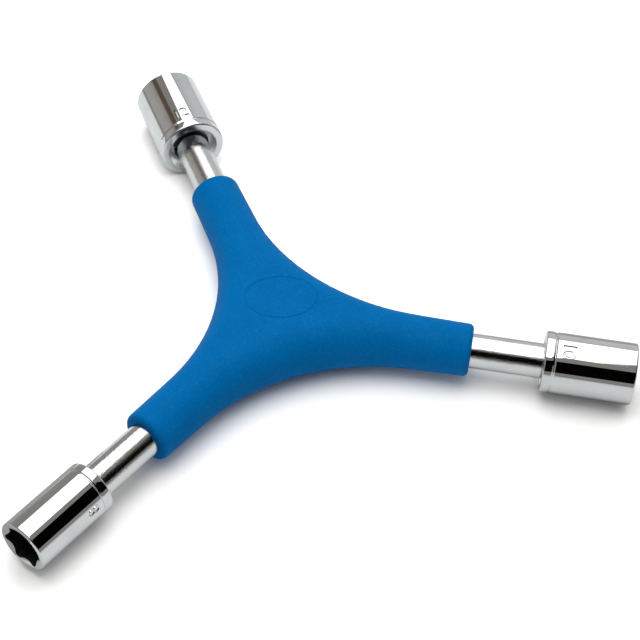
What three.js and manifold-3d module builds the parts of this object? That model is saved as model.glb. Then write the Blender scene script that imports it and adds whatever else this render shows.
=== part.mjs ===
// A three-armed socket wrench: a moulded handle, three steel shanks and three pull-off sockets.
// Millimetres, +Z up. The origin is the middle of the handle's flat underside.

import * as THREE from 'three';
import { mergeVertices } from 'three/addons/utils/BufferGeometryUtils.js';
import Module from 'manifold-3d';

const wasm = await Module();
wasm.setup();

// Driving dimensions: what differs between the three sockets
const smallHex = 8;
const middleHex = 10;
const largeHex = 12;
const smallDiameter = 12;
const middleDiameter = 14;
const largeDiameter = 16;
const smallRearLand = 1.0;
const middleRearLand = 1.4;
const largeRearLand = 1.8;

// The three arms, with their compass direction in degrees from +X
const arms = [
  { size: '8mm', direction: 270, hex: smallHex, diameter: smallDiameter, rearLand: smallRearLand },
  { size: '10mm', direction: 30, hex: middleHex, diameter: middleDiameter, rearLand: middleRearLand },
  { size: '12mm', direction: 150, hex: largeHex, diameter: largeDiameter, rearLand: largeRearLand },
];

// Driving dimensions: handle
const handleReach = 44.3;
const armEndHalfWidth = 5.95;
const armEndHalfHeight = 5.95;
const armTaperDegrees = 0.9;
const webRadius = 49;
const crownHalfHeight = 7.2;
const crownEdgeWidth = 7.2;
const crownSpread = 49.7;
const padHalfHeight = 7.05;
const armEndRound = 1.1;

// Driving dimensions: shanks and their tails inside the handle
const shankDiameter = 8;
const tailStart = 13;
const tailFlatsLength = 10;
const tailAcrossFlats = 6.4;
const tailGrooveStart = 28;
const tailGrooveWidth = 4;
const tailGrooveDepth = 0.8;
const gripFit = 0.3;

// Driving dimensions: square drive
const driveAcrossFlats = 6.2;
const driveLength = 7.5;
const driveEndChamfer = 0.5;
const driveTurnDegrees = 45;
const driveFit = 0.2;
const driveEndClearance = 0.6;

// Driving dimensions: sockets
const socketRear = 60.5;
const socketLength = 20.6;
const countersinkDepth = 1.2;
const countersinkFloorGap = 0.2;
const seatGap = 0.3;
const throughBoreDiameter = 5.4;
const hexDepth = 9.5;
const hexFit = 0.1;
const hexTurnDegrees = 8;
const lobeRelief = 0.25;
const lobeRadius = 1.1;
const lobeHalfAngleDegrees = 60;
const mouthChamfer = 0.5;
const rearChamfer = 0.5;
const frontChamfer = 0.4;
const ringGrooveStart = 2;
const ringGrooveWidth = 0.7;
const ringGrooveDepth = 0.3;

// Driving dimensions: spring ball that holds a socket on its drive
const ballDiameter = 2.4;
const ballFromShoulder = 4.2;
const ballProtrusion = 0.55;
const ballFit = 0.15;
const ballHoleDepth = 5.3;
const ballLipDepth = 0.45;
const ballInPerSocketOut = 0.15;
const springWireDiameter = 0.4;
const springMeanDiameter = 1.7;
const springTurns = 3;
const springEndGap = 0.15;

// Smoothness of the facets
const roundSides = 32;
const smallRoundSides = 16;
const wireSides = 5;
const stepsPerTurn = 8;
const handleStationsNearCentre = 5;
const handleStationsAlongArm = 11;
const handleStationsAcross = 6;
const armEndRoundSteps = 3;
const lobeSteps = 5;
const recessEndSteps = 4;
const ballRings = 10;
const cutterOverrun = 1;
const mergeDistance = 1e-4;

// Sizes worked out from the driving dimensions
const shankRadius = shankDiameter / 2;
const driveHalf = driveAcrossFlats / 2;
const driveHoleHalf = driveHalf + driveFit;
const driveTurn = THREE.MathUtils.degToRad(driveTurnDegrees);
const shoulder = socketRear + countersinkDepth - seatGap;
const driveEnd = shoulder + driveLength;
const driveHoleEnd = driveEnd + driveEndClearance;
const socketFront = socketRear + socketLength;
const hexFloor = socketFront - hexDepth;
const ballRadius = ballDiameter / 2;
const ballStation = shoulder + ballFromShoulder;
const ballHeight = driveHalf + ballProtrusion - ballRadius;
const quarterTurn = Math.PI / 2;
const sixthTurn = Math.PI / 3;
const hexCorners = 6;
const driveFlats = 4;
const halfWedge = Math.PI / 3;

// Turns a mesh into a solid that can be joined and cut
function solidOf(geometry) {
  const bare = geometry.clone();
  bare.deleteAttribute('normal');
  bare.deleteAttribute('uv');
  const merged = mergeVertices(bare, mergeDistance);
  const corners = merged.index.array;
  const kept = [];
  for (let i = 0; i < corners.length; i += 3) {
    const [a, b, c] = corners.slice(i, i + 3);
    if (a !== b && b !== c && c !== a) kept.push(a, b, c);
  }
  const mesh = new wasm.Mesh({
    numProp: 3,
    vertProperties: Float32Array.from(merged.attributes.position.array),
    triVerts: Uint32Array.from(kept),
  });
  return new wasm.Manifold(mesh);
}

// Turns a finished solid back into a mesh
function geometryOf(solid) {
  const mesh = solid.getMesh();
  const geometry = new THREE.BufferGeometry();
  geometry.setAttribute('position', new THREE.BufferAttribute(mesh.vertProperties, 3));
  geometry.setIndex(new THREE.BufferAttribute(mesh.triVerts, 1));
  geometry.computeVertexNormals();
  return geometry;
}

// A turned shape along +X, from [radius, station] points that start and end on the axis
function turned(points, sides = roundSides) {
  const profile = points.map(([radius, station]) => new THREE.Vector2(radius, station));
  return new THREE.LatheGeometry(profile, sides).rotateZ(-quarterTurn);
}

// A turned shape along the direction that the drive's first flat faces, at the ball's station
function turnedAtBall(points) {
  const profile = points.map(([radius, height]) => new THREE.Vector2(radius, height));
  return atBall(new THREE.LatheGeometry(profile, smallRoundSides));
}

// Moves a shape that stands on +Y to the ball's station, facing the way the drive's first flat does
function atBall(geometry) {
  return geometry.rotateX(driveTurn).translate(ballStation, 0, 0);
}

// Handle outline: the concave web between two arms is an arc, and each arm's side is a line
const taper = THREE.MathUtils.degToRad(armTaperDegrees);
const sideOffset = armEndHalfWidth * Math.cos(taper) + handleReach * Math.sin(taper);
const webCentreDistance = (webRadius + sideOffset) / Math.sin(halfWedge + taper);
const webCentre = new THREE.Vector2(
  webCentreDistance * Math.cos(halfWedge),
  webCentreDistance * Math.sin(halfWedge),
);
const webTangent = webCentre.x - webRadius * Math.sin(taper);
const notchStation = (webCentreDistance - webRadius) * Math.cos(halfWedge);

// Half width of an arm at a station along it
function armHalfWidth(station) {
  if (station < notchStation) return station * Math.tan(halfWedge);
  if (station > webTangent) return (sideOffset - station * Math.sin(taper)) / Math.cos(taper);
  return webCentre.y - Math.sqrt(webRadius ** 2 - (station - webCentre.x) ** 2);
}

// Distance in from the outline, for a point in one arm's wedge
function insetFromOutline(station, across) {
  if (station > webTangent) return sideOffset - across * Math.cos(taper) - station * Math.sin(taper);
  return Math.hypot(station - webCentre.x, across - webCentre.y) - webRadius;
}

// Half thickness of the handle: full at the crown, round at the edges, flat at the pads
function handleHalfHeight(station, across) {
  const spread = Math.min(Math.hypot(station, across) / crownSpread, 1);
  const crown = 0.5 + 0.5 * Math.cos(Math.PI * spread);
  const height = THREE.MathUtils.lerp(armEndHalfHeight, crownHalfHeight, crown);
  const edgeWidth = THREE.MathUtils.lerp(armEndHalfWidth, crownEdgeWidth, crown);
  const inset = THREE.MathUtils.clamp(insetFromOutline(station, across) / edgeWidth, 0, 1);
  return Math.min(height * Math.sqrt(1 - (1 - inset) ** 2), padHalfHeight);
}

// Stations along one arm, from the centre to its rounded end, each with the section's scale there
function handleStations() {
  const stations = [];
  for (let i = 0; i <= handleStationsNearCentre; i += 1) {
    const share = i / handleStationsNearCentre;
    stations.push({ x: notchStation * Math.sin(share * quarterTurn), scale: 1 });
  }
  const roundStart = handleReach - armEndRound;
  for (let i = 1; i <= handleStationsAlongArm; i += 1) {
    const x = THREE.MathUtils.lerp(notchStation, roundStart, i / handleStationsAlongArm);
    stations.push({ x, scale: 1 });
  }
  for (let i = 1; i <= armEndRoundSteps; i += 1) {
    const angle = (i / armEndRoundSteps) * quarterTurn;
    const scale = 1 - (armEndRound / armEndHalfWidth) * (1 - Math.cos(angle));
    stations.push({ x: roundStart + armEndRound * Math.sin(angle), scale });
  }
  return stations;
}

// One quarter of an arm: rows of points from the arm's middle line to its outline
function armQuarter() {
  const rows = handleStations().map(({ x, scale }) => {
    const row = [];
    for (let j = 0; j <= handleStationsAcross; j += 1) {
      const across = armHalfWidth(x) * Math.sin((j / handleStationsAcross) * quarterTurn);
      row.push(new THREE.Vector3(x, across * scale, handleHalfHeight(x, across) * scale));
    }
    return row;
  });
  const triangles = [];
  for (let i = 0; i + 1 < rows.length; i += 1) {
    for (let j = 0; j < handleStationsAcross; j += 1) {
      triangles.push([rows[i][j], rows[i + 1][j], rows[i + 1][j + 1]]);
      triangles.push([rows[i][j], rows[i + 1][j + 1], rows[i][j + 1]]);
    }
  }
  const lastRow = rows.at(-1);
  const endCentre = new THREE.Vector3(handleReach, 0, 0);
  for (let j = 0; j < handleStationsAcross; j += 1) {
    triangles.push([endCentre, lastRow[j + 1], lastRow[j]]);
  }
  return triangles;
}

// The handle's outside: the quarter mirrored across and below, and turned to each arm
function handleOutside() {
  const quarter = armQuarter();
  const corners = [];
  for (const { direction } of arms) {
    const turn = new THREE.Matrix4().makeRotationZ(THREE.MathUtils.degToRad(direction));
    for (const side of [1, -1]) {
      for (const face of [1, -1]) {
        const place = turn.clone().multiply(new THREE.Matrix4().makeScale(1, side, face));
        for (const [a, b, c] of quarter) {
          const ordered = side * face > 0 ? [a, b, c] : [a, c, b];
          ordered.forEach((corner) => corners.push(corner.clone().applyMatrix4(place)));
        }
      }
    }
  }
  return new THREE.BufferGeometry().setFromPoints(corners);
}

// A round bar with a keyed tail: two flats and a ring groove lock it in the handle
function shankBar(grow) {
  const radius = shankRadius + grow;
  const grooveRadius = radius - tailGrooveDepth;
  const grooveStart = tailGrooveStart + grow;
  const grooveEnd = tailGrooveStart + tailGrooveWidth - grow;
  const bar = solidOf(turned([
    [0, tailStart - grow],
    [radius, tailStart - grow],
    [radius, grooveStart],
    [grooveRadius, grooveStart],
    [grooveRadius, grooveEnd],
    [radius, grooveEnd],
    [radius, driveEnd - driveEndChamfer],
    [radius - driveEndChamfer, driveEnd],
    [0, driveEnd],
  ]));
  const flatsEnd = tailStart + tailFlatsLength - grow;
  const flatsStart = tailStart - grow - cutterOverrun;
  return cutFlats(bar, tailAcrossFlats / 2 + grow, flatsStart, flatsEnd, 0, Math.PI);
}

// Mills flats on a bar between two stations, the first facing a turn from +Y, the rest a step apart
function cutFlats(bar, half, start, end, firstTurn, step) {
  let milled = bar;
  for (let turn = firstTurn; turn < firstTurn + 2 * Math.PI - step / 2; turn += step) {
    const block = new THREE.BoxGeometry(end - start, shankDiameter, 2 * shankDiameter);
    block.translate((start + end) / 2, half + shankDiameter / 2, 0).rotateX(turn);
    milled = milled.subtract(solidOf(block));
  }
  return milled;
}

// A shank: the bar with its square drive and the staked blind hole for the ball
function shank() {
  const milled = cutFlats(shankBar(0), driveHalf, shoulder, driveEnd + cutterOverrun, driveTurn, quarterTurn);
  const holeRadius = ballRadius + ballFit;
  const aboveCentre = driveHalf - ballHeight;
  const lipRadius = Math.sqrt(ballRadius ** 2 - aboveCentre ** 2) + ballFit;
  const hole = turnedAtBall([
    [0, driveHalf - ballHoleDepth],
    [holeRadius, driveHalf - ballHoleDepth],
    [holeRadius, driveHalf - ballLipDepth],
    [lipRadius, driveHalf],
    [lipRadius, driveHalf + cutterOverrun],
    [0, driveHalf + cutterOverrun],
  ]);
  return geometryOf(milled.subtract(solidOf(hole)));
}

// The six-lobed outline of a hexagon mouth: round pockets at the corners and gently bowed flats
function hexMouthShape(acrossFlats) {
  const flat = acrossFlats / 2 + hexFit;
  const halfSixth = sixthTurn / 2;
  const lobeReach = flat / Math.cos(halfSixth) + lobeRelief;
  const pocketCentre = lobeReach - lobeRadius;
  const lobeHalfAngle = THREE.MathUtils.degToRad(lobeHalfAngleDegrees);
  const pocketEnd = new THREE.Vector2(
    pocketCentre + lobeRadius * Math.cos(lobeHalfAngle),
    lobeRadius * Math.sin(lobeHalfAngle),
  );
  const endTowardsFlat = pocketEnd.x * Math.cos(halfSixth) + pocketEnd.y * Math.sin(halfSixth);
  const bowControl = 2 * flat - endTowardsFlat;
  const shape = new THREE.Shape();
  for (let corner = 0; corner < hexCorners; corner += 1) {
    const angle = THREE.MathUtils.degToRad(hexTurnDegrees) + corner * sixthTurn;
    const flatAngle = angle + halfSixth;
    const nextStart = new THREE.Vector2(pocketEnd.x, -pocketEnd.y).rotateAround(
      new THREE.Vector2(),
      angle + sixthTurn,
    );
    shape.absarc(
      pocketCentre * Math.cos(angle),
      pocketCentre * Math.sin(angle),
      lobeRadius,
      angle - lobeHalfAngle,
      angle + lobeHalfAngle,
    );
    shape.quadraticCurveTo(
      bowControl * Math.cos(flatAngle),
      bowControl * Math.sin(flatAngle),
      nextStart.x,
      nextStart.y,
    );
  }
  return shape;
}

// The recess in one flat of a socket's drive hole: the path of the ball as the socket is pulled
function ballRecess(turn) {
  const travel = (ballProtrusion - driveFit + ballFit) / ballInPerSocketOut;
  const start = new THREE.Vector2(ballStation, ballHeight);
  const end = new THREE.Vector2(ballStation - travel, ballHeight - travel * ballInPerSocketOut);
  const middle = start.clone().add(end).divideScalar(2);
  const path = end.clone().sub(start);
  const radius = ballRadius + ballFit;
  const capsule = new THREE.CapsuleGeometry(radius, path.length(), recessEndSteps, smallRoundSides);
  capsule.rotateZ(path.angle() - quarterTurn).translate(middle.x, middle.y, 0).rotateX(turn);
  return solidOf(capsule);
}

// A socket: a turned body with a square drive hole behind and a hexagon mouth in front
function socket({ hex, diameter, rearLand }) {
  const radius = diameter / 2;
  const grooveStart = socketRear + ringGrooveStart;
  const grooveEnd = grooveStart + ringGrooveWidth;
  let body = solidOf(turned([
    [0, socketRear],
    [radius - rearChamfer, socketRear],
    [radius, socketRear + rearChamfer],
    [radius, grooveStart],
    [radius - ringGrooveDepth, (grooveStart + grooveEnd) / 2],
    [radius, grooveEnd],
    [radius, socketFront - frontChamfer],
    [radius - frontChamfer, socketFront],
    [0, socketFront],
  ]));
  const squareCornerRadius = driveHoleHalf * Math.SQRT2;
  const countersink = turned([
    [0, socketRear - cutterOverrun],
    [radius - rearLand, socketRear - cutterOverrun],
    [radius - rearLand, socketRear],
    [squareCornerRadius + countersinkFloorGap, socketRear + countersinkDepth],
    [0, socketRear + countersinkDepth],
  ]);
  const squareStart = socketRear - cutterOverrun;
  const squareHole = new THREE.BoxGeometry(driveHoleEnd - squareStart, 2 * driveHoleHalf, 2 * driveHoleHalf);
  squareHole.translate((squareStart + driveHoleEnd) / 2, 0, 0).rotateX(driveTurn);
  const throughBore = turned([
    [0, driveHoleEnd - cutterOverrun],
    [throughBoreDiameter / 2, driveHoleEnd - cutterOverrun],
    [throughBoreDiameter / 2, hexFloor + cutterOverrun],
    [0, hexFloor + cutterOverrun],
  ], smallRoundSides);
  const hexMouth = new THREE.ExtrudeGeometry(hexMouthShape(hex), {
    depth: hexDepth + cutterOverrun,
    bevelEnabled: false,
    curveSegments: lobeSteps,
  });
  hexMouth.rotateX(quarterTurn).rotateZ(quarterTurn).translate(hexFloor, 0, 0);
  const flat = hex / 2 + hexFit;
  const mouthCone = turned([
    [0, socketFront - flat],
    [flat, socketFront],
    [flat + mouthChamfer, socketFront],
    [flat + mouthChamfer, socketFront + cutterOverrun],
    [0, socketFront + cutterOverrun],
  ]);
  for (const cutter of [countersink, squareHole, throughBore, hexMouth, mouthCone]) {
    body = body.subtract(solidOf(cutter));
  }
  for (let flatIndex = 0; flatIndex < driveFlats; flatIndex += 1) {
    body = body.subtract(ballRecess(driveTurn + flatIndex * quarterTurn));
  }
  return geometryOf(body);
}

// The ball, standing out of the drive's first flat
function detentBall() {
  const ball = new THREE.SphereGeometry(ballRadius, smallRoundSides, ballRings);
  return atBall(ball.translate(0, ballHeight, 0));
}

// A helix along +Y between two heights
class SpringCurve extends THREE.Curve {
  constructor(bottom, top, radius, turns) {
    super();
    Object.assign(this, { bottom, top, radius, turns });
  }

  getPoint(share, target = new THREE.Vector3()) {
    const angle = 2 * Math.PI * this.turns * share;
    const height = THREE.MathUtils.lerp(this.bottom, this.top, share);
    return target.set(this.radius * Math.cos(angle), height, this.radius * Math.sin(angle));
  }
}

// The spring between the floor of the hole and the ball
function detentSpring() {
  const wireRadius = springWireDiameter / 2;
  const meanRadius = springMeanDiameter / 2;
  const bottom = driveHalf - ballHoleDepth + wireRadius + springEndGap;
  const underBall = ballHeight - Math.sqrt((ballRadius + wireRadius + springEndGap) ** 2 - meanRadius ** 2);
  const section = new THREE.Shape();
  for (let side = 0; side < wireSides; side += 1) {
    const angle = (side * 2 * Math.PI) / wireSides;
    const corner = new THREE.Vector2(wireRadius * Math.cos(angle), wireRadius * Math.sin(angle));
    if (side === 0) section.moveTo(corner.x, corner.y);
    else section.lineTo(corner.x, corner.y);
  }
  section.closePath();
  const wire = new THREE.ExtrudeGeometry(section, {
    steps: springTurns * stepsPerTurn,
    bevelEnabled: false,
    extrudePath: new SpringCurve(bottom, underBall, meanRadius, springTurns),
  });
  return atBall(geometryOf(solidOf(wire)));
}

// Finishes
const bluePlastic = { color: 0x0a6cb6, roughness: 0.55, metalness: 0 };
const chrome = { color: 0xdcdfe2, roughness: 0.08, metalness: 1 };
const satinChrome = { color: 0xcfd3d6, roughness: 0.22, metalness: 1 };
const springSteel = { color: 0x8f9499, roughness: 0.35, metalness: 1 };

// A named mesh with a material of its own
function named(name, geometry, finish) {
  const mesh = new THREE.Mesh(geometry, new THREE.MeshStandardMaterial(finish));
  mesh.name = name;
  return mesh;
}

// The handle, with a cavity for each shank's tail
function handleGrip() {
  let grip = solidOf(handleOutside());
  for (const { direction } of arms) {
    const turn = THREE.MathUtils.degToRad(direction);
    grip = grip.subtract(solidOf(geometryOf(shankBar(gripFit)).rotateZ(turn)));
  }
  return geometryOf(grip);
}

const wrench = new THREE.Group();
wrench.name = 'y_wrench';
const armPlane = new THREE.Group();
armPlane.position.z = padHalfHeight;
wrench.add(armPlane);
armPlane.add(named('handle_grip', handleGrip(), bluePlastic));

for (const arm of arms) {
  const armGroup = new THREE.Group();
  armGroup.rotation.z = THREE.MathUtils.degToRad(arm.direction);
  armGroup.add(named(`shank_${arm.size}`, shank(), satinChrome));
  armGroup.add(named(`socket_${arm.size}`, socket(arm), chrome));
  armGroup.add(named(`detent_ball_${arm.size}`, detentBall(), chrome));
  armGroup.add(named(`detent_spring_${arm.size}`, detentSpring(), springSteel));
  armPlane.add(armGroup);
}

export default wrench;
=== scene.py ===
"""Looks of a three-armed socket wrench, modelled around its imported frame.

The handle, shanks, sockets, spring balls and springs are modelled at their real sizes, in metres, and
stand for the frame's own nodes. What belongs to an arm is modelled along +X and then turned to the arm's
direction.
"""

import logging
import math
from collections.abc import Callable
from dataclasses import dataclass
from enum import Enum

import bpy
from mathutils import Matrix, Vector


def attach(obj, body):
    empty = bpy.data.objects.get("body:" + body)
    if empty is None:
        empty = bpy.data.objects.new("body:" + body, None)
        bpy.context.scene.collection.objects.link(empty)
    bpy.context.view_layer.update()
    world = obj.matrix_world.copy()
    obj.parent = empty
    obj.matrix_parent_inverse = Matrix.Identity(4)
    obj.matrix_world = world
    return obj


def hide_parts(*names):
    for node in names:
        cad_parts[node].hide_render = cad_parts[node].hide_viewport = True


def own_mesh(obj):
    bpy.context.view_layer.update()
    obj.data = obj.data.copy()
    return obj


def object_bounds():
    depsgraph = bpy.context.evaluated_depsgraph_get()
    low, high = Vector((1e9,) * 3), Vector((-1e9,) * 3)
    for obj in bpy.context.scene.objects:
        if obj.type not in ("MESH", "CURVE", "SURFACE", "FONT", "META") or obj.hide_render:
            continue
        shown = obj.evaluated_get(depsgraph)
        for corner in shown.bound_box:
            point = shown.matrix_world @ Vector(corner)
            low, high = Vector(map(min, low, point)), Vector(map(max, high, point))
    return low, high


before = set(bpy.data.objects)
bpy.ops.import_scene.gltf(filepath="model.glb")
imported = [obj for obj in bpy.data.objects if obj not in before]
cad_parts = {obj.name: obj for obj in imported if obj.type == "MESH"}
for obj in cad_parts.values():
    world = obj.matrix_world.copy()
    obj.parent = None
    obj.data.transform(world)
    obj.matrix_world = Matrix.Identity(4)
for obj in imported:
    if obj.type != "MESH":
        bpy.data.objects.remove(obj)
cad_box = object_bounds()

# Short names for types: a node's pin, and a light's reach to the left, to the right, near and far
Piece = bpy.types.Object
Pin = bpy.types.NodeSocket
Colour = tuple[float, float, float]
Reach = tuple[float, float, float, float]

MM = 0.001
FULL_TURN = 2 * math.pi
QUARTER_TURN = FULL_TURN / 4
SIXTH_TURN = FULL_TURN / 6
HALF_SIXTH = SIXTH_TURN / 2
UNIT = (0.0, 1.0)
GRID_HALF = 0.5
DRIVE_FLATS = 4
HEX_CORNERS = 6
MERGE_DISTANCE = 1e-6
DEGENERATE_DISTANCE = MERGE_DISTANCE / 10
SMOOTH_ANGLE = math.radians(32)
CUTTER_OVERRUN = 1 * MM
ARM_PLANE = 7.05 * MM
HANDLE_BODY = "handle_and_shanks"

log = logging.getLogger("y_wrench")


class Slot(Enum):
    """The record's material slots."""

    HANDLE = "handle_plastic"
    SHANK = "shank_chrome"
    SOCKET = "socket_chrome"
    BALL = "detent_steel"
    SPRING = "spring_steel"


class SocketFace(Enum):
    """The kinds of faces of a socket, as its material indices."""

    OUTSIDE = 0
    BORE = 1
    REAR = 2


@dataclass(frozen=True)
class Arm:
    """One arm: its size mark, its direction from +X, and the sizes of its own socket."""

    mark: str
    direction_degrees: float
    hex_across_flats: float
    socket_diameter: float
    rear_land: float
    number_turn_degrees: float

    @property
    def size(self) -> str:
        """The arm's name in the frame, such as 8mm."""
        return f"{self.mark}mm"

    @property
    def turn(self) -> float:
        """The arm's direction in radians."""
        return math.radians(self.direction_degrees)

    @property
    def place(self) -> Matrix:
        """The matrix that takes a piece modelled along +X to its arm."""
        return Matrix.Translation((0, 0, ARM_PLANE)) @ Matrix.Rotation(self.turn, 4, "Z")


# Mark, direction, width across the hexagon's flats, socket diameter, rear land and the number's turn
ARMS = (
    Arm("8", 270, 8 * MM, 12 * MM, 1.0 * MM, 19),
    Arm("10", 30, 10 * MM, 14 * MM, 1.4 * MM, 105),
    Arm("12", 150, 12 * MM, 16 * MM, 1.8 * MM, 79),
)


# Modelling by hand: selection, primitives, cuts and finishing


def pick(piece: Piece) -> None:
    """Makes one object the active one and the only one selected, in object mode.

    Args:
        piece: The object to work on.
    """
    if bpy.context.mode != "OBJECT":
        bpy.ops.object.mode_set(mode="OBJECT")
    bpy.ops.object.select_all(action="DESELECT")
    piece.select_set(True)
    bpy.context.view_layer.objects.active = piece


def edit(piece: Piece, test: Callable[[Vector], bool] | None = None) -> None:
    """Opens a mesh in edit mode with some of its vertices selected.

    Args:
        piece: The object to edit.
        test: Says of a vertex's place whether it is selected; all are if it is left out.
    """
    pick(piece)
    mesh = piece.data
    mesh.polygons.foreach_set("select", [False] * len(mesh.polygons))
    mesh.edges.foreach_set("select", [False] * len(mesh.edges))
    for vertex in mesh.vertices:
        vertex.select = test is None or test(vertex.co)
    bpy.ops.object.mode_set(mode="EDIT")
    bpy.ops.mesh.select_mode(type="VERT")
    if test is None:
        bpy.ops.mesh.select_all(action="SELECT")


def close_edit() -> None:
    """Goes back to object mode."""
    bpy.ops.object.mode_set(mode="OBJECT")


def primitive(name: str, add: Callable, **settings: object) -> Piece:
    """Adds a primitive with nothing else selected.

    Args:
        name: The new object's name.
        add: The operator that adds it.
        settings: The operator's settings.

    Returns:
        The new object.
    """
    bpy.ops.object.select_all(action="DESELECT")
    add(**settings)
    piece = bpy.context.object
    piece.name = name
    piece.data.name = name
    return piece


def modify(piece: Piece, kind: str, **settings: object) -> None:
    """Adds a modifier to a piece and applies it.

    Args:
        piece: The object to change.
        kind: The modifier's type, such as MIRROR.
        settings: Its properties.
    """
    pick(piece)
    modifier = piece.modifiers.new(kind.lower(), kind)
    for name, value in settings.items():
        setattr(modifier, name, value)
    bpy.ops.object.modifier_apply(modifier=modifier.name)


def ring_of(name: str, points: list[Vector]) -> Piece:
    """A circle primitive whose vertices are moved to the points of a closed outline.

    Args:
        name: The piece's name.
        points: The outline's points in order.

    Returns:
        A mesh of edges alone.
    """
    ring = primitive(name, bpy.ops.mesh.primitive_circle_add, vertices=len(points), fill_type="NOTHING")
    for vertex, point in zip(ring.data.vertices, points):
        vertex.co = point
    return ring


def clean(piece: Piece) -> None:
    """Merges doubles, drops stray edges and turns the faces outwards.

    Args:
        piece: The object to clean.
    """
    edit(piece)
    bpy.ops.mesh.remove_doubles(threshold=MERGE_DISTANCE)
    bpy.ops.mesh.dissolve_degenerate(threshold=DEGENERATE_DISTANCE)
    bpy.ops.mesh.delete_loose()
    bpy.ops.mesh.select_all(action="SELECT")
    bpy.ops.mesh.normals_make_consistent(inside=False)
    close_edit()


def rounded(corners: list[tuple[float, float, float]], steps: int) -> list[tuple[float, float]]:
    """Rounds the corners of a closed outline with arcs.

    Args:
        corners: Points as (station, radius, arc), where an arc of 0 leaves the corner sharp.
        steps: Straight stretches along each arc.

    Returns:
        The outline's points as (station, radius).
    """
    points = []
    for index, (station, radius, arc) in enumerate(corners):
        here = Vector((station, radius))
        if arc == 0:
            points.append((station, radius))
            continue
        before = (Vector(corners[index - 1][:2]) - here).normalized()
        after = (Vector(corners[(index + 1) % len(corners)][:2]) - here).normalized()
        half = before.angle(after) / 2
        centre = here + (before + after).normalized() * (arc / math.sin(half))
        start = here + before * (arc / math.tan(half)) - centre
        end = here + after * (arc / math.tan(half)) - centre
        for step in range(steps + 1):
            spoke = start.lerp(end, step / steps).normalized() * arc
            points.append(tuple(centre + spoke))
    return points


def turned(name: str, outline: list[tuple[float, float]], sides: int) -> Piece:
    """Spins a closed outline round the X axis, as on a lathe.

    Args:
        name: The piece's name.
        outline: Points as (station, radius), in order.
        sides: Faces round the axis.

    Returns:
        The turned piece.
    """
    piece = ring_of(name, [Vector((station, radius, 0)) for station, radius in outline])
    edit(piece)
    bpy.ops.mesh.spin(steps=sides, angle=FULL_TURN, center=(0, 0, 0), axis=(1, 0, 0))
    close_edit()
    clean(piece)
    return piece


def prism(name: str, outline: list[Vector], depth: float) -> Piece:
    """Fills an outline that lies across the X axis and extrudes it along the axis.

    Args:
        name: The piece's name.
        outline: Points in order, all at one station.
        depth: Length along +X.

    Returns:
        The closed prism.
    """
    piece = ring_of(name, outline)
    edit(piece)
    bpy.ops.mesh.edge_face_add()
    bpy.ops.mesh.extrude_region_move(TRANSFORM_OT_translate={"value": (depth, 0, 0)})
    close_edit()
    clean(piece)
    return piece


def block(name: str, low: tuple[float, ...], high: tuple[float, ...]) -> Piece:
    """A cutting block between two corners.

    Args:
        name: The piece's name.
        low: Its lowest corner.
        high: Its highest corner.

    Returns:
        The block.
    """
    middle = (Vector(low) + Vector(high)) / 2
    extent = Vector(high) - Vector(low)
    piece = primitive(name, bpy.ops.mesh.primitive_cube_add, size=1, location=middle, scale=extent)
    bpy.ops.object.transform_apply(location=True, rotation=True, scale=True)
    return piece


def place(piece: Piece, matrix: Matrix) -> None:
    """Moves a piece and applies its place to its mesh.

    Args:
        piece: The object to move.
        matrix: Its place in the frame.
    """
    pick(piece)
    piece.matrix_world = matrix
    bpy.ops.object.transform_apply(location=True, rotation=True, scale=True)


def copy_of(piece: Piece, name: str) -> Piece:
    """A copy of a piece with a mesh of its own.

    Args:
        piece: The object to copy.
        name: The copy's name.

    Returns:
        The copy.
    """
    twin = piece.copy()
    twin.data = piece.data.copy()
    twin.name = name
    twin.data.name = name
    bpy.context.collection.objects.link(twin)
    return twin


def cut(piece: Piece, cutter: Piece) -> None:
    """Cuts one piece by another, which is used up.

    Args:
        piece: The object to cut.
        cutter: The object that is taken away from it.
    """
    modify(piece, "BOOLEAN", operation="DIFFERENCE", solver="MANIFOLD", object=cutter)
    bpy.data.objects.remove(cutter)


def smooth(piece: Piece, angle: float = SMOOTH_ANGLE) -> None:
    """Shades a piece smooth, apart from its sharp edges.

    Args:
        piece: The object to shade.
        angle: Edges sharper than this stay sharp.
    """
    pick(piece)
    bpy.ops.object.shade_smooth_by_angle(angle=angle)


def even_normals(piece: Piece) -> None:
    """Lets large faces keep their own direction, so that flats stay flat beside rounded edges."""
    modify(piece, "WEIGHTED_NORMAL", keep_sharp=True)


def seat(piece: Piece, body: str, node: str) -> None:
    """Ties a finished piece to the frame.

    Args:
        piece: The finished object.
        body: The body that it moves with.
        node: The node that it stands for.
    """
    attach(piece, body)
    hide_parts(node)
    log.info("%s: %d faces, rides on %s", piece.name, len(piece.data.polygons), body)


# Shared effects of the finishes


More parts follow.
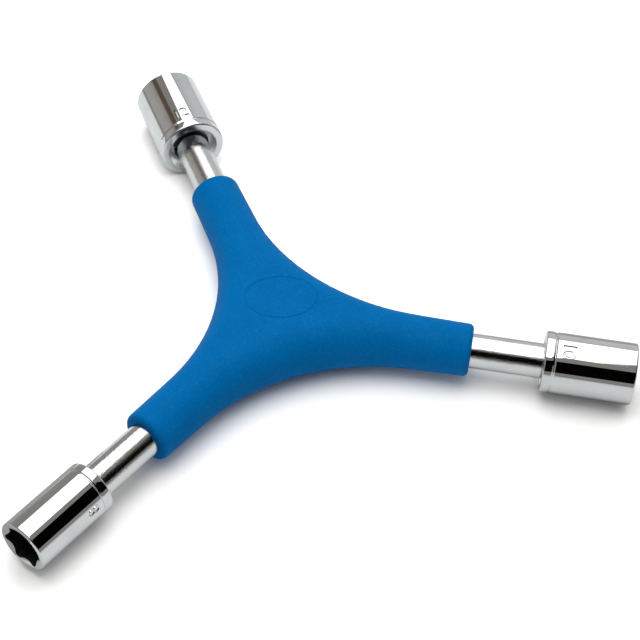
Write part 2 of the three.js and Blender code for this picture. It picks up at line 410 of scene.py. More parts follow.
class Graph:
    """Adds and links the nodes of one node tree."""

    # Places of a Mix node's colour sockets, whose names it shares with its other kinds
    MIX_FIRST = 6
    MIX_SECOND = 7
    MIX_RESULT = 2

    def __init__(self, tree: bpy.types.NodeTree) -> None:
        """Keeps the tree that the nodes go into."""
        self.tree = tree

    def add(self, kind: str, inputs: dict | None = None, **settings: object) -> bpy.types.Node:
        """Adds one node.

        Args:
            kind: The node's type, such as ShaderNodeBump.
            inputs: Values for its inputs, or the sockets that feed them.
            settings: Its other properties.

        Returns:
            The node.
        """
        node = self.tree.nodes.new(kind)
        for name, value in settings.items():
            setattr(node, name, value)
        for name, value in (inputs or {}).items():
            if isinstance(value, Pin):
                self.feed(node, name, value)
            else:
                node.inputs[name].default_value = value
        return node

    def feed(self, node: bpy.types.Node, name: str | int, value: Pin) -> None:
        """Links a value to one of a node's inputs."""
        self.tree.links.new(value, node.inputs[name])

    def noise(self, vector: Pin, scale: object, detail: float) -> Pin:
        """A noise value.

        Args:
            vector: Where it is read.
            scale: Cells to the metre, or the socket that gives them.
            detail: Octaves.

        Returns:
            The value's socket.
        """
        inputs = {"Vector": vector, "Scale": scale, "Detail": detail}
        return self.add("ShaderNodeTexNoise", inputs).outputs["Fac"]

    def spread(self, value: Pin, source: tuple, target: tuple) -> Pin:
        """Maps a value smoothly from one range to another.

        Args:
            value: The value's socket.
            source: Its lowest and highest value of use.
            target: What those become.

        Returns:
            The mapped value's socket.
        """
        inputs = {"Value": value, "From Min": source[0], "From Max": source[1]}
        inputs |= {"To Min": target[0], "To Max": target[1]}
        node = self.add("ShaderNodeMapRange", inputs, interpolation_type="SMOOTHSTEP")
        return node.outputs["Result"]

    def math(self, operation: str, first: object, second: object) -> Pin:
        """One sum.

        Args:
            operation: The math node's operation.
            first: The first number, or its socket.
            second: The second number, or its socket.

        Returns:
            The result's socket.
        """
        node = self.add("ShaderNodeMath", {0: first, 1: second}, operation=operation)
        return node.outputs["Value"]

    def tint(self, mask: Pin, dark: Colour, pale: Colour) -> Pin:
        """A colour between two.

        Args:
            mask: 0 gives the first colour and 1 the second.
            dark: The first colour.
            pale: The second colour.

        Returns:
            The colour's socket.
        """
        node = self.add("ShaderNodeMix", {"Factor": mask}, data_type="RGBA")
        node.inputs[self.MIX_FIRST].default_value = (*dark, 1)
        node.inputs[self.MIX_SECOND].default_value = (*pale, 1)
        return node.outputs[self.MIX_RESULT]


class Effect:
    """A node group that several finishes use, built once."""

    title = ""
    outputs: tuple[str, ...] = ()

    @classmethod
    def tree(cls) -> bpy.types.NodeTree:
        """The effect's node group.

        Returns:
            The group, made the first time it is asked for.
        """
        found = bpy.data.node_groups.get(cls.title)
        if found:
            return found
        tree = bpy.data.node_groups.new(cls.title, "ShaderNodeTree")
        tree.interface.new_socket("Vector", in_out="INPUT", socket_type="NodeSocketVector")
        tree.interface.new_socket("Scale", in_out="INPUT", socket_type="NodeSocketFloat")
        for name in cls.outputs:
            tree.interface.new_socket(name, in_out="OUTPUT", socket_type="NodeSocketFloat")
        graph = Graph(tree)
        source = graph.add("NodeGroupInput").outputs
        graph.add("NodeGroupOutput", cls.wire(graph, source["Vector"], source["Scale"]))
        return tree

    @classmethod
    def wire(cls, graph: Graph, vector: Pin, scale: Pin) -> dict:
        """Adds the effect's nodes.

        Args:
            graph: The group's graph.
            vector: Where the effect is read.
            scale: Cells to the metre.

        Returns:
            The socket that feeds each output.
        """
        raise NotImplementedError

    @classmethod
    def use(cls, graph: Graph, vector: Pin, scale: float) -> bpy.types.Node:
        """Places the effect in a material.

        Args:
            graph: The material's graph.
            vector: Where the effect is read.
            scale: Cells to the metre.

        Returns:
            The group's node.
        """
        return graph.add("ShaderNodeGroup", {"Vector": vector, "Scale": scale}, node_tree=cls.tree())


class SurfaceGrain(Effect):
    """Fine pits and bumps, with broad patches where they are denser."""

    title = "surface_grain"
    outputs = ("Height", "Patch", "Fleck")
    fine_octaves = 2.0
    fine_share = 0.6
    fleck_range = (0.52, 0.68)
    patch_coarseness = 0.07
    patch_octaves = 4.0
    patch_range = (0.35, 0.65)

    @classmethod
    def wire(cls, graph: Graph, vector: Pin, scale: Pin) -> dict:
        """Noise over small cells for the height, its peaks for the flecks, slow noise for the patches."""
        fine = graph.noise(vector, scale, cls.fine_octaves)
        spots = {"Vector": vector, "Scale": scale}
        cells = graph.add("ShaderNodeTexVoronoi", spots, feature="SMOOTH_F1").outputs["Distance"]
        height = graph.math("ADD", graph.math("MULTIPLY", fine, cls.fine_share), cells)
        slow_scale = graph.math("MULTIPLY", scale, cls.patch_coarseness)
        patch = graph.spread(graph.noise(vector, slow_scale, cls.patch_octaves), cls.patch_range, UNIT)
        return {"Height": height, "Patch": patch, "Fleck": graph.spread(fine, cls.fleck_range, UNIT)}


class HandlingMarks(Effect):
    """Faint smudges and hairline scratches from use."""

    title = "handling_marks"
    outputs = ("Smudge", "Scratch")
    smudge_octaves = 5.0
    smudge_range = (0.45, 0.7)
    scratch_squeeze = (1.0, 9.0, 14.0)
    scratch_turn = (0.3, 0.4, 0.7)
    scratch_fineness = 3.0
    scratch_octaves = 3.0
    scratch_range = (0.66, 0.72)

    @classmethod
    def wire(cls, graph: Graph, vector: Pin, scale: Pin) -> dict:
        """Cloudy noise for the smudges, and drawn-out noise for the scratches."""
        smudge = graph.spread(graph.noise(vector, scale, cls.smudge_octaves), cls.smudge_range, UNIT)
        drawing = {"Vector": vector, "Scale": cls.scratch_squeeze, "Rotation": cls.scratch_turn}
        drawn = graph.add("ShaderNodeMapping", drawing).outputs["Vector"]
        line_scale = graph.math("MULTIPLY", scale, cls.scratch_fineness)
        lines = graph.noise(drawn, line_scale, cls.scratch_octaves)
        return {"Smudge": smudge, "Scratch": graph.spread(lines, cls.scratch_range, UNIT)}


class TurningLines(Effect):
    """Very fine rings left by turning and polishing, for a piece whose axis is the vector's X."""

    title = "turning_lines"
    outputs = ("Height",)
    squeeze = (1.0, 0.03, 0.03)
    octaves = 3.0

    @classmethod
    def wire(cls, graph: Graph, vector: Pin, scale: Pin) -> dict:
        """Noise that changes along the axis alone, but for a slight waver."""
        squeezed = graph.add("ShaderNodeMapping", {"Vector": vector, "Scale": cls.squeeze})
        return {"Height": graph.noise(squeezed.outputs["Vector"], scale, cls.octaves)}


# Finishes


@dataclass(frozen=True)
class Finish:
    """A material with its own node graph, read from the piece's place in the frame."""

    name: str

    def material(self, turn: float = 0.0) -> bpy.types.Material:
        """Builds the material.

        Args:
            turn: Direction in radians that the pattern's X axis points to.

        Returns:
            The material.
        """
        material = bpy.data.materials.new(self.name)
        material.use_nodes = True
        graph = Graph(material.node_tree)
        shader = material.node_tree.nodes["Principled BSDF"]
        coordinates = graph.add("ShaderNodeTexCoord").outputs["Object"]
        mapping = graph.add("ShaderNodeMapping", {"Vector": coordinates, "Rotation": (0.0, 0.0, -turn)})
        self.wire(graph, shader, mapping.outputs["Vector"])
        return material

    def wire(self, graph: Graph, shader: bpy.types.Node, vector: Pin) -> None:
        """Sets the shader and feeds it.

        Args:
            graph: The material's graph.
            shader: The Principled BSDF.
            vector: Where the patterns are read.
        """
        raise NotImplementedError

    @staticmethod
    def bump(graph: Graph, shader: bpy.types.Node, height: Pin, depth: float) -> None:
        """Feeds the shader's normal from a height.

        Args:
            graph: The material's graph.
            shader: The Principled BSDF.
            height: The height's socket, from about 0 to 1.
            depth: The relief's depth in metres.
        """
        node = graph.add("ShaderNodeBump", {"Height": height, "Distance": depth, "Strength": 1.0})
        graph.feed(shader, "Normal", node.outputs["Normal"])


@dataclass(frozen=True)
class MouldedPlastic(Finish):
    """Matte blue plastic with the fine grain of a spark-eroded mould."""

    deep: Colour = (0.0, 0.110, 0.325)
    pale: Colour = (0.002, 0.170, 0.475)
    grain_scale: float = 2600.0
    grain_depth: float = 0.022 * MM
    patch_share: float = 0.1
    fleck_share: float = 0.45
    smudge_scale: float = 70.0
    scratch_share: float = 0.4
    gloss: tuple[float, float] = (0.5, 0.62)
    specular: float = 0.015

    def wire(self, graph: Graph, shader: bpy.types.Node, vector: Pin) -> None:
        """Grain in the relief, flecks, patches and scratches in the colour, and smudges in the gloss."""
        grain = SurfaceGrain.use(graph, vector, self.grain_scale)
        marks = HandlingMarks.use(graph, vector, self.smudge_scale)
        mask = graph.math("MULTIPLY", marks.outputs["Scratch"], self.scratch_share)
        for output, share in (("Patch", self.patch_share), ("Fleck", self.fleck_share)):
            mask = graph.math("ADD", mask, graph.math("MULTIPLY", grain.outputs[output], share))
        shader.inputs["Specular IOR Level"].default_value = self.specular
        graph.feed(shader, "Base Color", graph.tint(mask, self.deep, self.pale))
        graph.feed(shader, "Roughness", graph.spread(marks.outputs["Smudge"], UNIT, self.gloss))
        self.bump(graph, shader, grain.outputs["Height"], self.grain_depth)


@dataclass(frozen=True)
class PlatedSteel(Finish):
    """Chrome plate: mirror bright on polished steel, satin on a bar that keeps its drawn grain."""

    dark: Colour = (0.60, 0.61, 0.62)
    bright: Colour = (0.66, 0.67, 0.675)
    gloss: tuple[float, float] = (0.02, 0.06)
    grain_scale: float = 3200.0
    grain_depth: float = 0.0
    ring_scale: float = 9000.0
    ring_depth: float = 0.00004 * MM
    smudge_scale: float = 160.0
    smudge_dulling: tuple[float, float] = (1.0, 0.3)

    def wire(self, graph: Graph, shader: bpy.types.Node, vector: Pin) -> None:
        """Polishing rings and bar grain in the relief, smudges in the colour and the gloss."""
        marks = HandlingMarks.use(graph, vector, self.smudge_scale)
        rings = TurningLines.use(graph, vector, self.ring_scale)
        shader.inputs["Metallic"].default_value = 1.0
        unsmudged = graph.spread(marks.outputs["Smudge"], UNIT, self.smudge_dulling)
        graph.feed(shader, "Base Color", graph.tint(unsmudged, self.dark, self.bright))
        graph.feed(shader, "Roughness", graph.spread(marks.outputs["Smudge"], UNIT, self.gloss))
        height = graph.math("MULTIPLY", rings.outputs["Height"], self.ring_depth)
        if self.grain_depth > 0:
            grain = SurfaceGrain.use(graph, vector, self.grain_scale)
            pits = graph.math("MULTIPLY", grain.outputs["Height"], self.grain_depth)
            height = graph.math("ADD", height, pits)
        self.bump(graph, shader, height, 1.0)


@dataclass(frozen=True)
class BoreOxideAndShade(Finish):
    """The near-black inside of a socket: partly dark oxide on the steel, partly painted shade of its deep
    hollows.
    """

    dark: Colour = (0.012, 0.012, 0.013)
    bright: Colour = (0.045, 0.044, 0.043)
    grain_scale: float = 1800.0
    grain_depth: float = 0.01 * MM
    gloss: tuple[float, float] = (0.42, 0.6)
    metallic: float = 0.7

    def wire(self, graph: Graph, shader: bpy.types.Node, vector: Pin) -> None:
        """Broaching rings in the colour and pits in the relief."""
        grain = SurfaceGrain.use(graph, vector, self.grain_scale)
        rings = TurningLines.use(graph, vector, self.grain_scale)
        shader.inputs["Metallic"].default_value = self.metallic
        graph.feed(shader, "Base Color", graph.tint(rings.outputs["Height"], self.dark, self.bright))
        graph.feed(shader, "Roughness", graph.spread(grain.outputs["Patch"], UNIT, self.gloss))
        self.bump(graph, shader, grain.outputs["Height"], self.grain_depth)


@dataclass(frozen=True)
class StudioPaper(Finish):
    """Plain paper of the studio, for the floor and for the cards that the chrome reflects."""

    dark: Colour = (0.86, 0.86, 0.86)
    bright: Colour = (0.88, 0.88, 0.88)
    fibre_scale: float = 400.0
    fibre_depth: float = 0.01 * MM
    gloss: tuple[float, float] = (0.9, 1.0)

    def wire(self, graph: Graph, shader: bpy.types.Node, vector: Pin) -> None:
        """A faint fibre in the colour and the relief."""
        fibre = SurfaceGrain.use(graph, vector, self.fibre_scale)
        shader.inputs["Specular IOR Level"].default_value = 0.0
        graph.feed(shader, "Base Color", graph.tint(fibre.outputs["Patch"], self.dark, self.bright))
        graph.feed(shader, "Roughness", graph.spread(fibre.outputs["Patch"], UNIT, self.gloss))
        self.bump(graph, shader, fibre.outputs["Height"], self.fibre_depth)


BLUE_PLASTIC = MouldedPlastic("blue_moulded_plastic")
MIRROR_CHROME = PlatedSteel("mirror_chrome")
FACED_CHROME = PlatedSteel("faced_chrome", gloss=(0.16, 0.24), ring_depth=0.0002 * MM)
SATIN_CHROME = PlatedSteel(
    "satin_chrome",
    gloss=(0.09, 0.13),
    grain_scale=4200.0,
    grain_depth=0.024 * MM,
    ring_depth=0.0002 * MM,
)
BALL_STEEL = PlatedSteel(
    "ball_bearing_steel",
    dark=(0.5, 0.51, 0.52),
    bright=(0.6, 0.61, 0.62),
    gloss=(0.06, 0.12),
)
SPRING_WIRE = PlatedSteel(
    "drawn_spring_wire",
    dark=(0.24, 0.25, 0.26),
    bright=(0.36, 0.37, 0.38),
    gloss=(0.25, 0.4),
    grain_depth=0.004 * MM,
)
# Near-black finish for the sockets' hollows: partly dark oxide, partly painted shade
BORE_OXIDE_AND_SHADE = BoreOxideAndShade("bore_oxide_and_painted_shade")
PALE_PAPER = StudioPaper("studio_paper")
TABLE_PAPER = StudioPaper("table_paper", dark=(0.74, 0.76, 0.765), bright=(0.76, 0.78, 0.785))
GREY_PAPER = StudioPaper("grey_paper", dark=(0.37, 0.367, 0.36), bright=(0.39, 0.387, 0.38))
BLACK_FELT = StudioPaper("black_felt", dark=(0.001, 0.001, 0.001), bright=(0.003, 0.003, 0.003))


# The object's pieces


@dataclass
class Shank:
    """A round steel bar: a keyed tail inside the handle, and a square drive with a ball hole at its end."""

    diameter: float = 8 * MM
    tail_start: float = 13 * MM
    tail_flats_length: float = 10 * MM
    tail_across_flats: float = 6.4 * MM
    groove_start: float = 28 * MM
    groove_width: float = 4 * MM
    groove_depth: float = 0.8 * MM
    drive_across_flats: float = 6.2 * MM
    shoulder: float = 61.4 * MM
    drive_length: float = 7.5 * MM
    drive_turn: float = math.radians(45)
    end_round: float = 0.5 * MM
    edge_round: float = 0.15 * MM
    ball_from_shoulder: float = 4.2 * MM
    ball_hole_radius: float = 1.35 * MM
    ball_hole_depth: float = 5.3 * MM
    ball_lip_radius: float = 1.16 * MM
    ball_lip_depth: float = 0.45 * MM
    sides: int = 144
    hole_sides: int = 48
    round_steps: int = 4

    @property
    def radius(self) -> float:
        """Half the bar's diameter."""
        return self.diameter / 2

    @property
    def drive_end(self) -> float:
        """The station of the drive's end."""
        return self.shoulder + self.drive_length

    @property
    def ball_station(self) -> float:
        """The station of the ball's middle."""
        return self.shoulder + self.ball_from_shoulder

    @property
    def at_ball(self) -> Matrix:
        """Takes a shape that stands on +Z to the ball's station, facing as the drive's first flat does."""
        lean = Matrix.Rotation(self.drive_turn - QUARTER_TURN, 4, "X")
        return Matrix.Translation((self.ball_station, 0, 0)) @ lean

    def bar(self, name: str, grow: float) -> Piece:
        """The round bar with its keyed tail.

        Args:
            name: The piece's name.
            grow: How much larger it is all round, for the cavity in the handle.

        Returns:
            The bar, along +X.
        """
        radius = self.radius + grow
        groove_radius = radius - self.groove_depth
        groove_end = self.groove_start + self.groove_width
        edge = self.edge_round
        bar = turned(name, rounded([
            (self.tail_start - grow, 0, 0),
            (self.tail_start - grow, radius, self.end_round),
            (self.groove_start + grow, radius, edge),
            (self.groove_start + grow, groove_radius, edge),
            (groove_end - grow, groove_radius, edge),
            (groove_end - grow, radius, edge),
            (self.drive_end, radius, self.end_round),
            (self.drive_end, 0, 0),
        ], self.round_steps), self.sides)
        flats_end = self.tail_start + self.tail_flats_length - grow
        half = self.tail_across_flats / 2 + grow
        self.mill(bar, self.tail_start - grow - CUTTER_OVERRUN, flats_end, half, (0, math.pi))
        return bar

    def mill(self, bar: Piece, start: float, end: float, half: float, turns: tuple) -> None:
        """Mills flats along a bar.

        Args:
            bar: The bar to mill.
            start: The station where the flats start.
            end: The station where they end.
            half: Their distance from the axis.
            turns: The directions that they face, from +Y towards +Z.
        """
        reach = self.diameter
        for turn in turns:
            cutter = block("mill", (start, half, -reach), (end, half + reach, reach))
            place(cutter, Matrix.Rotation(turn, 4, "X"))
            cut(bar, cutter)

    def ball_hole(self) -> Piece:
        """The cutter for the blind hole, whose staked lip keeps the ball in.

        Returns:
            The cutter, in the drive's first flat.
        """
        face = self.drive_across_flats / 2
        hole = turned("ball_hole", [
            (face - self.ball_hole_depth, 0),
            (face - self.ball_hole_depth, self.ball_hole_radius),
            (face - self.ball_lip_depth, self.ball_hole_radius),
            (face, self.ball_lip_radius),
            (face + CUTTER_OVERRUN, self.ball_lip_radius),
            (face + CUTTER_OVERRUN, 0),
        ], self.hole_sides)
        place(hole, self.at_ball @ Matrix.Rotation(-QUARTER_TURN, 4, "Y"))
        return hole

    def build(self) -> Piece:
        """Models one shank.

        Returns:
            The shank, along +X.
        """
        shank = self.bar("shank", 0)
        half = self.drive_across_flats / 2
        turns = tuple(self.drive_turn + index * QUARTER_TURN for index in range(DRIVE_FLATS))
        self.mill(shank, self.shoulder, self.drive_end + CUTTER_OVERRUN, half, turns)
        cut(shank, self.ball_hole())
        smooth(shank)
        even_normals(shank)
        return shank

    def dress(self, model: Piece, arm: Arm) -> Piece:
        """Copies the model to an arm and gives it its finish.

        Args:
            model: The modelled shank.
            arm: The arm that it goes to.

        Returns:
            The finished shank.
        """
        shank = copy_of(model, f"shank_{arm.size}_bar")
        place(shank, arm.place)
        shank.data.materials.clear()
        shank.data.materials.append(SATIN_CHROME.material(arm.turn))
        seat(shank, HANDLE_BODY, f"shank_{arm.size}")
        return shank


@dataclass
class Handle:
    """The moulded grip: three tapering arms that flow into each other round a flat crown."""

    shank: Shank
    reach: float = 44.3 * MM
    end_half_width: float = 5.95 * MM
    end_half_height: float = 5.95 * MM
    taper: float = math.radians(0.9)
    web_radius: float = 49 * MM
    crown_half_height: float = 7.2 * MM
    crown_edge_width: float = 7.2 * MM
    crown_spread: float = 49.7 * MM
    pad_half_height: float = 7.05 * MM
    pad_blend: float = 0.06 * MM
    pad_blend_limit: float = 50
    end_round: float = 1.1 * MM
    bore_gap: float = 0.02 * MM
    oval_centre: tuple[float, float] = (-0.37 * MM, 1.36 * MM)
    oval_half_length: float = 8.2 * MM
    oval_half_width: float = 6.2 * MM
    oval_turn: float = math.radians(45)
    oval_line_radius: float = 0.24 * MM
    oval_line_lift: float = 0.11 * MM
    oval_line_steps: int = 3
    oval_points: int = 180
    near_steps: int = 16
    along_steps: int = 64
    end_steps: int = 8
    across_steps: int = 26

    def __post_init__(self) -> None:
        """Works out the outline: an arc between each two arms, and a line along each arm's side."""
        self.side_offset = self.end_half_width * math.cos(self.taper) + self.reach * math.sin(self.taper)
        distance = (self.web_radius + self.side_offset) / math.sin(SIXTH_TURN + self.taper)
        self.web_centre = Vector((distance * math.cos(SIXTH_TURN), distance * math.sin(SIXTH_TURN)))
        self.web_tangent = self.web_centre.x - self.web_radius * math.sin(self.taper)
        self.notch = (distance - self.web_radius) * math.cos(SIXTH_TURN)

    def half_width(self, station: float) -> float:
        """Half width of an arm at a station along it."""
        if station < self.notch:
            return station * math.tan(SIXTH_TURN)
        if station > self.web_tangent:
            return (self.side_offset - station * math.sin(self.taper)) / math.cos(self.taper)
        return self.web_centre.y - math.sqrt(self.web_radius**2 - (station - self.web_centre.x) ** 2)

    def inset(self, station: float, across: float) -> float:
        """Distance in from the outline, for a point in one arm's wedge."""
        if station > self.web_tangent:
            return self.side_offset - across * math.cos(self.taper) - station * math.sin(self.taper)
        return math.hypot(station - self.web_centre.x, across - self.web_centre.y) - self.web_radius

    def half_height(self, station: float, across: float) -> float:
        """Half the handle's thickness: full at the crown, round at the edges, blended into the flat pads.

        Args:
            station: Distance along the arm.
            across: Distance from the arm's middle line.

        Returns:
            The half thickness.
        """
        spread = min(math.hypot(station, across) / self.crown_spread, 1)
        crown = 0.5 + 0.5 * math.cos(math.pi * spread)
        height = self.end_half_height + (self.crown_half_height - self.end_half_height) * crown
        edge = self.end_half_width + (self.crown_edge_width - self.end_half_width) * crown
        edge = min(edge, self.inset(station, 0))
        share = min(max(self.inset(station, across) / edge, 0), 1)
        full = height * math.sqrt(1 - (1 - share) ** 2)
        excess = (full - self.pad_half_height) / self.pad_blend
        return full - self.pad_blend * math.log1p(math.exp(min(excess, self.pad_blend_limit)))

    def station_at(self, row: int) -> tuple[float, float]:
        """A row's station along the arm and the scale of the section there.

        Args:
            row: The row's number from the centre.

        Returns:
            The station and the scale, which falls off at the rounded end.
        """
        if row <= self.near_steps:
            return self.notch * math.sin(row / self.near_steps * QUARTER_TURN), 1
        start = self.reach - self.end_round
        row -= self.near_steps
        if row <= self.along_steps:
            return self.notch + (start - self.notch) * row / self.along_steps, 1
        angle = (row - self.along_steps) / self.end_steps * QUARTER_TURN
        scale = 1 - self.end_round / self.end_half_width * (1 - math.cos(angle))
        return start + self.end_round * math.sin(angle), scale

    def quarter(self) -> Piece:
        """One quarter of an arm: a grid laid over the upper face on one side of the middle line.

        Returns:
            The grid, along +X.
        """
        rows = self.near_steps + self.along_steps + self.end_steps
        steps = {"x_subdivisions": rows, "y_subdivisions": self.across_steps}
        grid = primitive("handle_grip_moulding", bpy.ops.mesh.primitive_grid_add, size=1, **steps)
        for vertex in grid.data.vertices:
            station, scale = self.station_at(round((vertex.co.x + GRID_HALF) * rows))
            column = round((vertex.co.y + GRID_HALF) * self.across_steps)
            across = self.half_width(station) * math.sin(column / self.across_steps * QUARTER_TURN)
            vertex.co = (station, across * scale, self.half_height(station, across) * scale)
        return grid

    def outside(self) -> Piece:
        """The quarter mirrored to a whole arm, and the arm spun to all three.

        Returns:
            The closed outside of the handle, in the frame.
        """
        handle = self.quarter()
        modify(handle, "MIRROR", use_axis=(False, True, True), merge_threshold=MERGE_DISTANCE)
        copies = len(ARMS) - 1
        sweep = FULL_TURN * copies / len(ARMS)
        edit(handle)
        bpy.ops.mesh.spin(steps=copies, dupli=True, angle=sweep, center=(0, 0, 0), axis=(0, 0, 1))
        close_edit()
        clean(handle)
        edit(handle)
        bpy.ops.mesh.fill_holes(sides=0)
        bpy.ops.mesh.select_all(action="SELECT")
        bpy.ops.mesh.normals_make_consistent(inside=False)
        close_edit()
        place(handle, ARMS[1].place)
        return handle

    def top_at(self, x: float, y: float) -> float:
        """Height of the upper face above a point of the frame's floor plane."""
        away = [abs(math.remainder(math.atan2(y, x) - arm.turn, FULL_TURN)) for arm in ARMS]
        along = math.hypot(x, y) * math.cos(min(away))
        across = math.hypot(x, y) * math.sin(min(away))
        return ARM_PLANE + self.half_height(along, across)

    def oval_line(self) -> Piece:
        """The cutter for the fine oval line on the crown: a thin tube that follows the upper face.

        Returns:
            The tube.
        """
        points = []
        for index in range(self.oval_points):
            angle = FULL_TURN * index / self.oval_points
            along = self.oval_half_length * math.cos(angle)
            aside = self.oval_half_width * math.sin(angle)
            x = self.oval_centre[0] + along * math.cos(self.oval_turn) - aside * math.sin(self.oval_turn)
            y = self.oval_centre[1] + along * math.sin(self.oval_turn) + aside * math.cos(self.oval_turn)
            points.append(Vector((x, y, self.top_at(x, y) + self.oval_line_lift)))
        line = ring_of("oval_line", points)
        pick(line)
        bpy.ops.object.convert(target="CURVE")
        line = bpy.context.object
        line.data.bevel_depth = self.oval_line_radius
        line.data.bevel_resolution = self.oval_line_steps
        bpy.ops.object.convert(target="MESH")
        line = bpy.context.object
        clean(line)
        return line

    def build(self) -> Piece:
        """Models the handle, with a cavity for each shank and the oval line.

        Returns:
            The handle.
        """
        handle = self.outside()
        for arm in ARMS:
            bar = self.shank.bar("bore", self.bore_gap)
            place(bar, arm.place)
            cut(handle, bar)
        cut(handle, self.oval_line())
        smooth(handle)
        return handle

    def dress(self, handle: Piece) -> None:
        """Gives the handle its finish and ties it to the frame."""
        handle.data.materials.clear()
        handle.data.materials.append(BLUE_PLASTIC.material())
        seat(handle, HANDLE_BODY, "handle_grip")


@dataclass
class Detent:
    """The ball that holds a socket on its drive, and the spring that presses it out."""

    shank: Shank
    ball_radius: float = 1.2 * MM
    ball_height: float = 2.45 * MM
    ball_subdivisions: int = 5
    worn_depth: float = 0.012 * MM
    ball_travel: float = 1.35 * MM
    wire_radius: float = 0.2 * MM
    coil_radius: float = 0.85 * MM
    spring_bottom: float = -1.85 * MM
    spring_top: float = 1.154 * MM
    spring_turns: int = 3
    steps_per_turn: int = 40
    wire_sides: int = 12

    @property
    def hole_floor(self) -> float:
        """Height of the ball hole's floor above the axis."""
        return self.shank.drive_across_flats / 2 - self.shank.ball_hole_depth

    def ball(self) -> Piece:
        """Models the ball, with the tiny flat that rubbing wears on its crown.

        Returns:
            The ball, in the drive's first flat.
        """
        roundness = {"subdivisions": self.ball_subdivisions, "radius": self.ball_radius}
        ball = primitive("ball", bpy.ops.mesh.primitive_ico_sphere_add, **roundness)
        edit(ball)
        crown = (0, 0, self.ball_radius - self.worn_depth)
        bpy.ops.mesh.bisect(plane_co=crown, plane_no=(0, 0, 1), use_fill=True, clear_outer=True)
        close_edit()
        clean(ball)
        place(ball, self.shank.at_ball @ Matrix.Translation((0, 0, self.ball_height)))
        smooth(ball)
        return ball

    def spring(self) -> Piece:
        """Models the spring as one wire, wound by a screw.

        Returns:
            The spring, between the hole's floor and the ball.
        """
        section = []
        for side in range(self.wire_sides):
            angle = FULL_TURN * side / self.wire_sides
            offset = self.wire_radius * math.cos(angle)
            section.append(Vector((self.coil_radius + offset, 0, self.wire_radius * math.sin(angle))))
        spring = ring_of("spring", section)
        sweep = FULL_TURN * self.spring_turns
        rise = self.spring_top - self.spring_bottom
        steps = self.steps_per_turn * self.spring_turns
        modify(spring, "SCREW", angle=sweep, screw_offset=rise, steps=steps, render_steps=steps)
        edit(spring)
        bpy.ops.mesh.fill_holes(sides=0)
        close_edit()
        clean(spring)
        place(spring, self.shank.at_ball @ Matrix.Translation((0, 0, self.spring_bottom)))
        smooth(spring)
        return spring

    def dress(self, ball_model: Piece, spring_model: Piece, arm: Arm) -> None:
        """Copies the ball and the spring to an arm and finishes them.

        Args:
            ball_model: The modelled ball.
            spring_model: The modelled spring.
            arm: The arm that they go to.
        """
        ball = copy_of(ball_model, f"detent_ball_{arm.size}_steel")
        place(ball, arm.place)
        ball.data.materials.append(BALL_STEEL.material(arm.turn))
        seat(ball, f"ball_{arm.size}_body", f"detent_ball_{arm.size}")
        spring = copy_of(spring_model, f"detent_spring_{arm.size}_wire")
        place(spring, arm.place)
        spring.data.materials.append(SPRING_WIRE.material(arm.turn))
        seat(spring, HANDLE_BODY, f"detent_spring_{arm.size}")
        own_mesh(spring)


